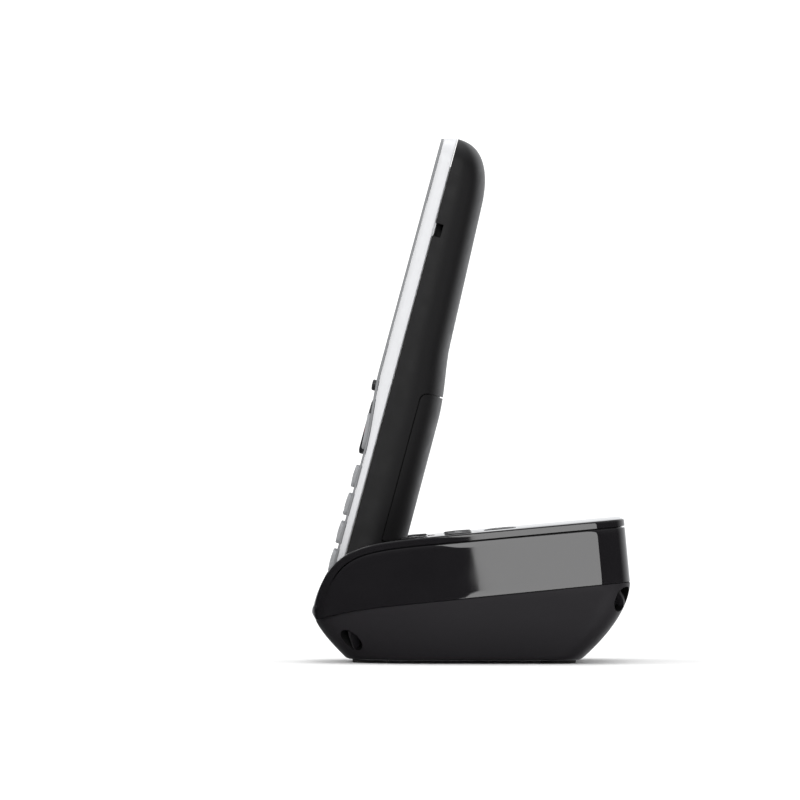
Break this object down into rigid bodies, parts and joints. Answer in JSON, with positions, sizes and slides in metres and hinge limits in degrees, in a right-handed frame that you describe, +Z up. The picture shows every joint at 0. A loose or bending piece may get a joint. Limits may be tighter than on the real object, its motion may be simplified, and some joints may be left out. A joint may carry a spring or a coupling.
{
  "type": "cordless phone with base",
  "caption": "Slim cordless telephone handset leaning back in a black charging base with playback keys, silver side frame and rounded nose.",
  "frame": {"origin": "on the surface the base stands on, under the middle of the overall box", "axes": "+Z up, -Y towards the user who faces the keys, +X to the user's right, the side with the headset socket"},
  "size_m": [0.096, 0.1076, 0.1773],
  "materials": {
    "gloss_black": "piano-black gloss",
    "satin_black": "fine satin texture",
    "soft_black": "soft-touch matte",
    "silver_frame": "satin silver lacquer",
    "face_grey": "satin grey",
    "key_silver": "satin silver lacquer",
    "key_dark": "semi-gloss",
    "display_glass": "polished",
    "display_module": "satin",
    "rubber": "matte",
    "silicone": "matte",
    "circuit_board": "solder mask",
    "socket_black": "matte",
    "speaker": "matte",
    "capsule": "satin",
    "contact_metal": "plated",
    "screw_steel": "zinc plated",
    "cell_wrap": "printed sleeve",
    "light_lens": "translucent lens"
  },
  "bodies": {
    "base": {"lower_housing": "satin_black", "upper_housing": "gloss_black", "top_cover": "gloss_black", "cradle_tray": "satin_black", "base_key_mat": "silicone", "base_pcb": "circuit_board", "loudspeaker": "speaker", "line_socket": "socket_black", "power_socket": "socket_black", "message_light": "light_lens", "foot_front_left": "rubber", "foot_front_right": "rubber", "foot_rear_left": "rubber", "foot_rear_right": "rubber", "base_screw_left": "screw_steel", "base_screw_right": "screw_steel"},
    "handset": {"handset_back_shell": "soft_black", "silver_frame": "silver_frame", "front_panel": "face_grey", "display_window": "display_glass", "display_module": "display_module", "keypad_mat": "silicone", "handset_pcb": "circuit_board", "headset_socket": "socket_black", "earpiece": "speaker", "ringer_speaker": "speaker", "microphone": "capsule", "battery_link": "contact_metal", "battery_cell_left": "cell_wrap", "battery_cell_right": "cell_wrap", "charge_pad_left": "contact_metal", "charge_pad_right": "contact_metal", "handset_screw_left": "screw_steel", "handset_screw_right": "screw_steel"},
    "battery_cover": {"battery_cover": "soft_black"},
    "key_1": {"key_1": "key_silver"},
    "key_2": {"key_2": "key_silver"},
    "key_3": {"key_3": "key_silver"},
    "key_4": {"key_4": "key_silver"},
    "key_5": {"key_5": "key_silver"},
    "key_6": {"key_6": "key_silver"},
    "key_7": {"key_7": "key_silver"},
    "key_8": {"key_8": "key_silver"},
    "key_9": {"key_9": "key_silver"},
    "key_star": {"key_star": "key_silver"},
    "key_0": {"key_0": "key_silver"},
    "key_hash": {"key_hash": "key_silver"},
    "key_talk": {"key_talk": "key_silver"},
    "key_end": {"key_end": "key_silver"},
    "key_soft_left": {"key_soft_left": "key_dark"},
    "key_soft_right": {"key_soft_right": "key_dark"},
    "key_navigation": {"key_navigation": "key_dark"},
    "base_key_volume_down": {"base_key_volume_down": "gloss_black"},
    "base_key_volume_up": {"base_key_volume_up": "gloss_black"},
    "base_key_skip_back": {"base_key_skip_back": "gloss_black"},
    "base_key_skip_forward": {"base_key_skip_forward": "gloss_black"},
    "base_key_locate": {"base_key_locate": "gloss_black"},
    "base_key_play": {"base_key_play": "gloss_black"},
    "charge_contact_left": {"charge_contact_left": "contact_metal"},
    "charge_contact_right": {"charge_contact_right": "contact_metal"}
  },
  "joints": [
    {"name": "handset_lift", "type": "slide", "parent": "base", "child": "handset", "axis": [0, 0.2605, 0.9655], "range_m": [0, 0.06]},
    {"name": "battery_cover_hinge", "type": "hinge", "parent": "handset", "child": "battery_cover", "pos_m": [0, -0.02105, 0.04165], "axis": [-1, 0, 0], "range_deg": [0, 30]},
    {"name": "key_1_press", "type": "slide", "parent": "handset", "child": "key_1", "axis": [0, 0.9655, -0.2605], "range_m": [0, 0.0006], "stiffness_N_per_m": 300},
    {"name": "key_2_press", "type": "slide", "parent": "handset", "child": "key_2", "axis": [0, 0.9655, -0.2605], "range_m": [0, 0.0006], "stiffness_N_per_m": 300},
    {"name": "key_3_press", "type": "slide", "parent": "handset", "child": "key_3", "axis": [0, 0.9655, -0.2605], "range_m": [0, 0.0006], "stiffness_N_per_m": 300},
    {"name": "key_4_press", "type": "slide", "parent": "handset", "child": "key_4", "axis": [0, 0.9655, -0.2605], "range_m": [0, 0.0006], "stiffness_N_per_m": 300},
    {"name": "key_5_press", "type": "slide", "parent": "handset", "child": "key_5", "axis": [0, 0.9655, -0.2605], "range_m": [0, 0.0006], "stiffness_N_per_m": 300},
    {"name": "key_6_press", "type": "slide", "parent": "handset", "child": "key_6", "axis": [0, 0.9655, -0.2605], "range_m": [0, 0.0006], "stiffness_N_per_m": 300},
    {"name": "key_7_press", "type": "slide", "parent": "handset", "child": "key_7", "axis": [0, 0.9655, -0.2605], "range_m": [0, 0.0006], "stiffness_N_per_m": 300},
    {"name": "key_8_press", "type": "slide", "parent": "handset", "child": "key_8", "axis": [0, 0.9655, -0.2605], "range_m": [0, 0.0006], "stiffness_N_per_m": 300},
    {"name": "key_9_press", "type": "slide", "parent": "handset", "child": "key_9", "axis": [0, 0.9655, -0.2605], "range_m": [0, 0.0006], "stiffness_N_per_m": 300},
    {"name": "key_star_press", "type": "slide", "parent": "handset", "child": "key_star", "axis": [0, 0.9655, -0.2605], "range_m": [0, 0.0006], "stiffness_N_per_m": 300},
    {"name": "key_0_press", "type": "slide", "parent": "handset", "child": "key_0", "axis": [0, 0.9655, -0.2605], "range_m": [0, 0.0006], "stiffness_N_per_m": 300},
    {"name": "key_hash_press", "type": "slide", "parent": "handset", "child": "key_hash", "axis": [0, 0.9655, -0.2605], "range_m": [0, 0.0006], "stiffness_N_per_m": 300},
    {"name": "key_talk_press", "type": "slide", "parent": "handset", "child": "key_talk", "axis": [0, 0.9655, -0.2605], "range_m": [0, 0.0006], "stiffness_N_per_m": 300},
    {"name": "key_end_press", "type": "slide", "parent": "handset", "child": "key_end", "axis": [0, 0.9655, -0.2605], "range_m": [0, 0.0006], "stiffness_N_per_m": 300},
    {"name": "key_soft_left_press", "type": "slide", "parent": "handset", "child": "key_soft_left", "axis": [0, 0.9655, -0.2605], "range_m": [0, 0.0006], "stiffness_N_per_m": 300},
    {"name": "key_soft_right_press", "type": "slide", "parent": "handset", "child": "key_soft_right", "axis": [0, 0.9655, -0.2605], "range_m": [0, 0.0006], "stiffness_N_per_m": 300},
    {"name": "key_navigation_rock", "type": "hinge", "parent": "handset", "child": "key_navigation", "pos_m": [0, -0.03222, 0.07931], "axis": [1, 0, 0], "range_deg": [-3, 3], "stiffness_Nm_per_rad": 0.03},
    {"name": "base_key_volume_down_press", "type": "slide", "parent": "base", "child": "base_key_volume_down", "axis": [0, 0.0932, -0.9956], "range_m": [0, 0.0007], "stiffness_N_per_m": 400},
    {"name": "base_key_volume_up_press", "type": "slide", "parent": "base", "child": "base_key_volume_up", "axis": [0, 0.0932, -0.9956], "range_m": [0, 0.0007], "stiffness_N_per_m": 400},
    {"name": "base_key_skip_back_press", "type": "slide", "parent": "base", "child": "base_key_skip_back", "axis": [0, 0.0932, -0.9956], "range_m": [0, 0.0007], "stiffness_N_per_m": 400},
    {"name": "base_key_skip_forward_press", "type": "slide", "parent": "base", "child": "base_key_skip_forward", "axis": [0, 0.0932, -0.9956], "range_m": [0, 0.0007], "stiffness_N_per_m": 400},
    {"name": "base_key_locate_press", "type": "slide", "parent": "base", "child": "base_key_locate", "axis": [0, 0.0932, -0.9956], "range_m": [0, 0.0007], "stiffness_N_per_m": 400},
    {"name": "base_key_play_press", "type": "slide", "parent": "base", "child": "base_key_play", "axis": [0, 0.0932, -0.9956], "range_m": [0, 0.0007], "stiffness_N_per_m": 400},
    {"name": "charge_contact_left_spring", "type": "slide", "parent": "base", "child": "charge_contact_left", "axis": [0, 0.2605, 0.9655], "range_m": [-0.0008, 0], "stiffness_N_per_m": 300},
    {"name": "charge_contact_right_spring", "type": "slide", "parent": "base", "child": "charge_contact_right", "axis": [0, 0.2605, 0.9655], "range_m": [-0.0008, 0], "stiffness_N_per_m": 300}
  ]
}
